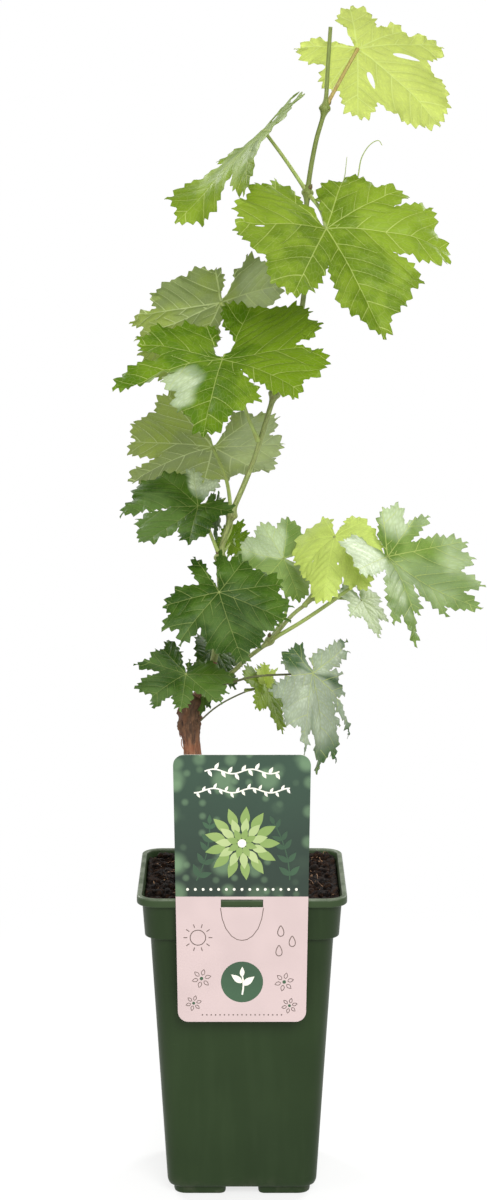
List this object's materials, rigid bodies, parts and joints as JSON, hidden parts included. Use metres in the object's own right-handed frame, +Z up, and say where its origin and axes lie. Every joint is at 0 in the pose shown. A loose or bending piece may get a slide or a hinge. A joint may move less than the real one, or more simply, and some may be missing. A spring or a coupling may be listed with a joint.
{
  "type": "potted grapevine",
  "caption": "Young grapevine with a woody stem, green shoots and lobed, toothed leaves, in a tall square dark-green nursery pot with a hang-on label card.",
  "frame": {"origin": "middle of the pot's underside, on the surface that it stands on", "axes": "+Z up along the plant, -Y towards the front of the pot with the label, +X to the right seen from the front"},
  "size_m": [0.2077, 0.1664, 0.6806],
  "materials": {
    "pot": "satin",
    "soil": "rough",
    "card": "semi-gloss",
    "bark": "rough",
    "cane": "rough",
    "shoot": "satin",
    "stalk": "satin",
    "blade": "satin"
  },
  "bodies": {
    "root": {"pot": "pot", "soil": "soil", "label": "card", "trunk": "bark", "arm": "cane", "shoot_lower": "shoot", "shoot_middle": "shoot", "shoot_upper": "shoot", "side_shoot": "shoot", "stalk_top": "stalk", "leaf_top": "blade", "stalk_upper_left": "stalk", "leaf_upper_left": "blade", "stalk_upper_right": "stalk", "leaf_upper_right": "blade", "stalk_back_left": "stalk", "leaf_back_left": "blade", "stalk_front_left": "stalk", "leaf_front_left": "blade", "stalk_back_low_left": "stalk", "leaf_back_low_left": "blade", "stalk_dark_left": "stalk", "leaf_dark_left": "blade", "stalk_folded": "stalk", "leaf_folded": "blade", "stalk_front_middle": "stalk", "leaf_front_middle": "blade", "stalk_back_middle": "stalk", "leaf_back_middle": "blade", "stalk_pale_right": "stalk", "leaf_pale_right": "blade", "stalk_far_right": "stalk", "leaf_far_right": "blade", "stalk_small_right": "stalk", "leaf_small_right": "blade", "stalk_low_left": "stalk", "leaf_low_left": "blade", "stalk_low_right": "stalk", "leaf_low_right": "blade", "stalk_low_pale": "stalk", "leaf_low_pale": "blade", "stalk_low_dark": "stalk", "leaf_low_dark": "blade"}
  },
  "joints": []
}
